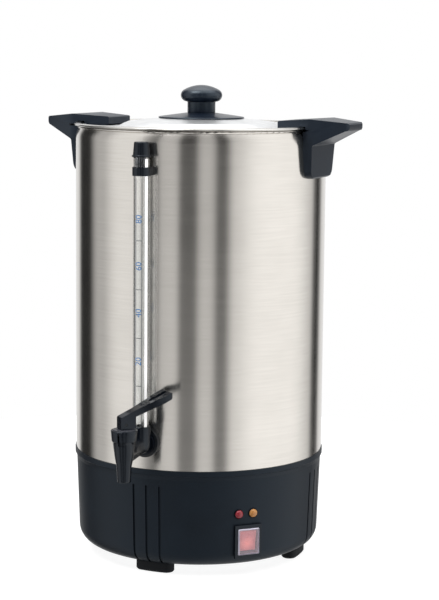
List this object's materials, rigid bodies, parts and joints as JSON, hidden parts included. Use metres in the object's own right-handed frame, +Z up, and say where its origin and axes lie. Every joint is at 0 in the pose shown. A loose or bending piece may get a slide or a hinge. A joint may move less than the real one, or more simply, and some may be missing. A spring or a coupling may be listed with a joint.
{
  "type": "coffee urn",
  "caption": "Double-walled coffee urn on a moulded base, with a lever tap, a sight gauge, bracket handles, a domed lid with a knob and a percolator set inside.",
  "frame": {"origin": "on the counter, under the middle of the vessel, at the centre of the ring of feet", "axes": "+Z up along the vessel's axis, -Y towards the tap and the gauge, +X to the right for someone who faces the tap"},
  "size_m": [0.3396, 0.3233, 0.4895],
  "materials": {
    "brushed_steel_shell": "brushed round the body, satin",
    "tank_steel": "bright drawn sheet",
    "polished_steel": "mirror polished sheet",
    "black_plastic": "satin moulded, fine grain",
    "tap_plastic": "satin moulded",
    "foot_rubber": "dull moulded",
    "clear_tube": "clear, printed scale",
    "white_silicone": "soft moulded",
    "red_silicone": "soft moulded",
    "zinc_steel": "zinc plated",
    "stainless": "turned and cut, bright",
    "aluminium": "satin",
    "sheath_steel": "heat-tinted sheath",
    "brown_phenolic": "moulded",
    "ceramic_white": "moulded",
    "brass": "plain turned",
    "switch_black": "satin moulded",
    "rocker_red": "translucent, lit from behind",
    "clear_cover": "soft clear splash cover",
    "lamp_red": "translucent lens",
    "lamp_amber": "translucent lens"
  },
  "bodies": {
    "vessel": {"inner_tank": "tank_steel", "outer_shell": "brushed_steel_shell", "base_housing": "black_plastic", "base_plate": "zinc_steel", "base_plate_screws": "zinc_steel", "shell_screws": "zinc_steel", "foot_front": "foot_rubber", "foot_right": "foot_rubber", "foot_back": "foot_rubber", "foot_left": "foot_rubber", "foot_screws": "zinc_steel", "handle_left": "black_plastic", "handle_right": "black_plastic", "handle_screws": "zinc_steel", "gauge_tube": "clear_tube", "gauge_cap": "tap_plastic", "gauge_clamp": "tap_plastic", "gauge_clamp_screw": "stainless", "gauge_seal": "white_silicone", "tap_body": "tap_plastic", "tap_gasket": "white_silicone", "tap_spacer": "white_silicone", "tap_inner_washer": "white_silicone", "tap_nut": "stainless", "tap_bonnet": "tap_plastic", "heater_plate": "aluminium", "heating_element": "sheath_steel", "thermostat": "brown_phenolic", "thermal_cutout": "brown_phenolic", "sensor_bracket": "zinc_steel", "sensor_studs": "zinc_steel", "sensor_nuts": "zinc_steel", "terminal_block": "ceramic_white", "terminal_screws": "zinc_steel", "earth_stud": "brass", "switch_housing": "switch_black", "switch_boot": "clear_cover", "red_lamp": "lamp_red", "amber_lamp": "lamp_amber", "cord_gland": "switch_black"},
    "lid_set": {"lid": "polished_steel", "knob_disc": "black_plastic", "lid_knob": "black_plastic", "knob_screw": "stainless"},
    "percolator": {"pump_base": "aluminium", "pump_tube": "aluminium", "coffee_basket": "aluminium"},
    "basket_cover": {"basket_cover": "aluminium"},
    "pump_washer": {"pump_washer": "stainless"},
    "tap_swivel": {"tap_collar": "tap_plastic"},
    "tap_stem": {"tap_stem": "stainless", "tap_plug": "red_silicone", "tap_spring": "stainless"},
    "tap_lever": {"tap_lever": "tap_plastic", "tap_pin": "stainless"},
    "switch_rocker": {"switch_rocker": "rocker_red"}
  },
  "joints": [
    {"name": "lid_lift", "type": "slide", "parent": "vessel", "child": "lid_set", "axis": [0, 0, 1], "range_m": [0, 0.15]},
    {"name": "percolator_lift", "type": "slide", "parent": "vessel", "child": "percolator", "axis": [0, 0, 1], "range_m": [0, 0.012]},
    {"name": "basket_cover_lift", "type": "slide", "parent": "percolator", "child": "basket_cover", "axis": [0, 0, 1], "range_m": [0, 0.006]},
    {"name": "pump_washer_lift", "type": "slide", "parent": "percolator", "child": "pump_washer", "axis": [0, 0, 1], "range_m": [0, 0.003]},
    {"name": "tap_swing", "type": "hinge", "parent": "vessel", "child": "tap_swivel", "pos_m": [0, -0.178, 0.1575], "axis": [0, 0, 1], "range_deg": [-276, 0]},
    {"name": "valve_lift", "type": "slide", "parent": "tap_swivel", "child": "tap_stem", "axis": [0, 0, 1], "range_m": [0, 0.0028], "deforming": ["tap_spring"]},
    {"name": "lever_tilt", "type": "hinge", "parent": "tap_stem", "child": "tap_lever", "pos_m": [0, -0.178, 0.165], "axis": [-0.7431, 0.6691, 0], "range_deg": [0, 24], "stiffness_Nm_per_rad": 0.034, "springref_deg": -35.24},
    {"name": "rocker_press", "type": "hinge", "parent": "vessel", "child": "switch_rocker", "pos_m": [0.09047, -0.08436, 0.0365], "axis": [0.682, 0.7314, 0], "range_deg": [-16, 0]}
  ],
  "couplings": [
    {"joint": "valve_lift", "follows": "lever_tilt", "m_per_rad": 0.0065}
  ]
}
